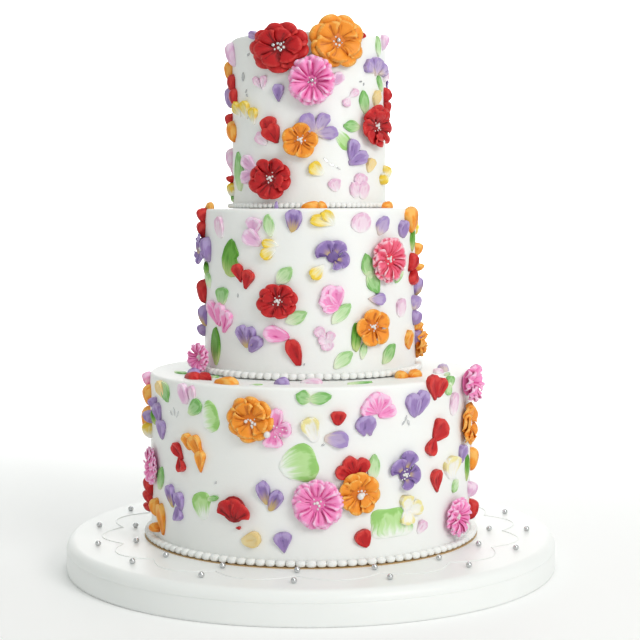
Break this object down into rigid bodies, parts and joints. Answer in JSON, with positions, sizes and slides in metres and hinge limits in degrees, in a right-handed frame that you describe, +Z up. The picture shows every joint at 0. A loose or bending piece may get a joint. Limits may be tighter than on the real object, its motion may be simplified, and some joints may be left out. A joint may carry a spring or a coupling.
{
  "type": "tiered wedding cake",
  "caption": "Tall white three-tier celebration cake on a round board, with piped buttercream flowers and knife-smeared petals and leaves in mixed colours.",
  "frame": {"origin": "centre of the board's underside, on the axis of the tiers", "axes": "+Z up along the axis of the tiers, -Y towards the shown side"},
  "size_m": [0.4572, 0.4572, 0.5028],
  "materials": {
    "white_icing": "smooth satin white buttercream",
    "board_icing": "smooth white sugar paste, slightly satin",
    "red_icing": "soft satin buttercream",
    "orange_icing": "soft satin buttercream",
    "pink_icing": "soft satin buttercream",
    "coral_icing": "soft satin buttercream",
    "purple_icing": "soft satin buttercream",
    "pale_pink_icing": "soft satin buttercream",
    "lilac_icing": "soft satin buttercream",
    "yellow_icing": "soft satin buttercream",
    "green_icing": "soft satin buttercream",
    "silver_pearls": "small silver sugar pearls",
    "white_pearls": "small pearly white sugar pearls"
  },
  "bodies": {
    "root": {"cake_board": "board_icing", "bottom_tier": "white_icing", "middle_tier": "white_icing", "top_tier": "white_icing", "bottom_border": "white_icing", "middle_border": "white_icing", "top_border": "white_icing", "flower_red_1": "red_icing", "flower_red_2": "red_icing", "flower_red_3": "red_icing", "flower_red_4": "red_icing", "flower_red_5": "red_icing", "flower_red_6": "red_icing", "flower_red_7": "red_icing", "flower_red_8": "red_icing", "flower_red_9": "red_icing", "flower_orange_1": "orange_icing", "flower_orange_2": "orange_icing", "flower_orange_3": "orange_icing", "flower_orange_4": "orange_icing", "flower_orange_5": "orange_icing", "flower_orange_6": "orange_icing", "flower_orange_7": "orange_icing", "flower_orange_8": "orange_icing", "flower_orange_9": "orange_icing", "flower_orange_10": "orange_icing", "flower_orange_11": "orange_icing", "flower_pink_1": "pink_icing", "flower_pink_2": "pink_icing", "flower_pink_3": "pink_icing", "flower_pink_4": "pink_icing", "flower_pink_5": "pink_icing", "flower_pink_6": "pink_icing", "flower_pink_7": "pink_icing", "flower_pink_8": "pink_icing", "flower_pink_9": "pink_icing", "flower_pink_10": "pink_icing", "flower_pink_11": "pink_icing", "flower_coral_1": "coral_icing", "flower_purple_1": "purple_icing", "flower_purple_2": "purple_icing", "flower_purple_3": "purple_icing", "flower_purple_4": "purple_icing", "flower_purple_5": "purple_icing", "flower_purple_6": "purple_icing"}
  },
  "joints": []
}
